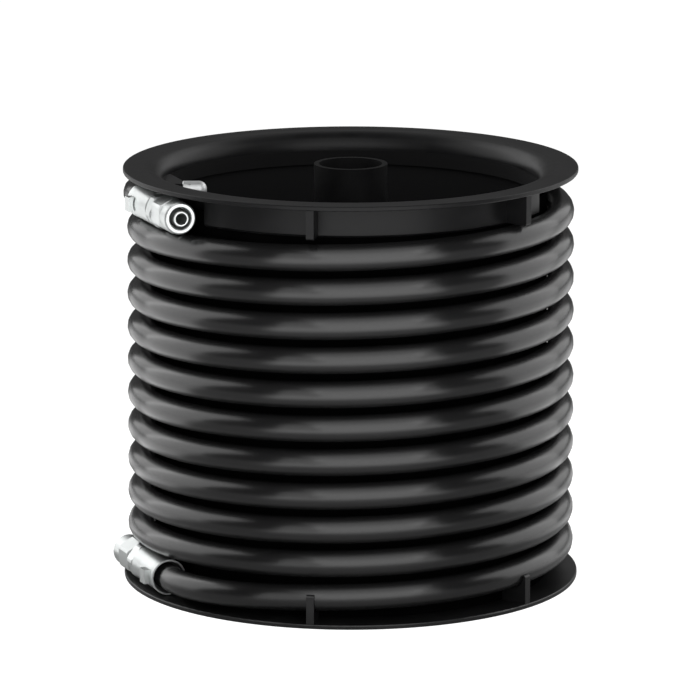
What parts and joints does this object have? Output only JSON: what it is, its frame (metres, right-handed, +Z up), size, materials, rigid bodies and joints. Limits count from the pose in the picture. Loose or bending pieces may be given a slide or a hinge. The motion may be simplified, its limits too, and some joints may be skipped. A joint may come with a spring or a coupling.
{
  "type": "sewer hose kit",
  "caption": "Open plastic drum reel with a rolled rim and a hub tube, wound with one layer of smooth hose that ends in plated swivel nut couplings, and a small nozzle at the rim.",
  "frame": {"origin": "on the hub axis at the bottom face of the bottom flange, on which the reel stands", "axes": "+Z up along the hub axis, -Y towards the viewer of the picture, +X to the right in the picture"},
  "size_m": [0.2477, 0.242, 0.2216],
  "materials": {
    "reel_plastic": "moulded satin black",
    "hub_plastic": "smooth satin black",
    "hose_jacket": "smooth semi-gloss dark grey",
    "zinc_nut": "bright zinc plate",
    "zinc_tail": "bright zinc plate",
    "zinc_ferrule": "bright zinc plate",
    "zinc_clamp": "bright zinc plate",
    "nozzle_steel": "turned stainless steel",
    "spring_wire": "drawn wire",
    "screw_steel": "plated screws",
    "seal_rubber": "matt black"
  },
  "bodies": {
    "reel": {"top_flange": "reel_plastic", "bottom_flange": "reel_plastic", "drum_core": "reel_plastic", "hub_tube": "hub_plastic", "flange_screws": "screw_steel", "hose": "hose_jacket", "top_hose_tail": "zinc_tail", "top_ferrule": "zinc_ferrule", "top_clamp_ring": "zinc_clamp", "top_retaining_wire": "spring_wire", "top_nose_seal": "seal_rubber", "bottom_hose_tail": "zinc_tail", "bottom_ferrule": "zinc_ferrule", "bottom_clamp_ring": "zinc_clamp", "bottom_retaining_wire": "spring_wire", "bottom_nose_seal": "seal_rubber"},
    "top_nut": {"top_swivel_nut": "zinc_nut"},
    "bottom_nut": {"bottom_swivel_nut": "zinc_nut"},
    "nozzle": {"nozzle": "nozzle_steel"}
  },
  "joints": [
    {"name": "top_nut_swivel", "type": "hinge", "parent": "reel", "child": "top_nut", "pos_m": [-0.08724, -0.08126, 0.2074], "axis": [0.3255, -0.9452, 0.0262], "continuous": true},
    {"name": "bottom_nut_swivel", "type": "hinge", "parent": "reel", "child": "bottom_nut", "pos_m": [-0.11928, -0.00184, 0.0123], "axis": [-0.3746, 0.9272, 0], "continuous": true},
    {"name": "nozzle_pull", "type": "slide", "parent": "reel", "child": "nozzle", "axis": [1, 0, 0], "range_m": [0, 0.012]}
  ]
}
